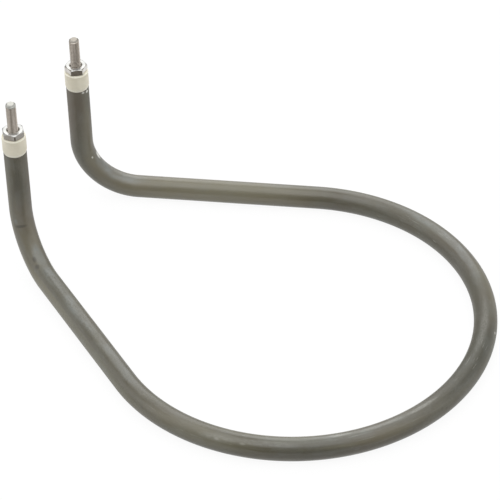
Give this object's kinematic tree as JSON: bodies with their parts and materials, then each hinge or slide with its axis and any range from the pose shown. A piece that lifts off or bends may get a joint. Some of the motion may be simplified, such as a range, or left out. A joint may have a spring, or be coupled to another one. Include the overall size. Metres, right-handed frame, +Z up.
{
  "type": "tubular heating element",
  "caption": "Metal-sheathed tubular heater bent to a flat teardrop loop, with both ends turned up to ceramic bushings, nuts and threaded terminal studs.",
  "frame": {"origin": "on the floor plane, under the middle of the whole heater's box", "axes": "+Z up along both terminal studs, +X from the two ends towards the far end of the loop"},
  "size_m": [0.2422, 0.1878, 0.0934],
  "materials": {
    "sheath": "dark oxidised nickel alloy tube, satin to matt",
    "magnesia": "packed magnesium oxide powder, matt",
    "resistance_wire": "drawn nickel chromium wire",
    "terminal_steel": "rolled thread, satin stainless steel",
    "bushing_ceramic": "unglazed cream steatite",
    "end_seal": "cured pale silicone",
    "plated_nut": "bright plated steel"
  },
  "bodies": {
    "root": {"sheath": "sheath", "magnesia_fill": "magnesia", "resistance_coil": "resistance_wire", "right_terminal_pin": "terminal_steel", "right_end_seal": "end_seal", "right_bushing": "bushing_ceramic", "right_nut": "plated_nut", "left_terminal_pin": "terminal_steel", "left_end_seal": "end_seal", "left_bushing": "bushing_ceramic", "left_nut": "plated_nut"}
  },
  "joints": []
}
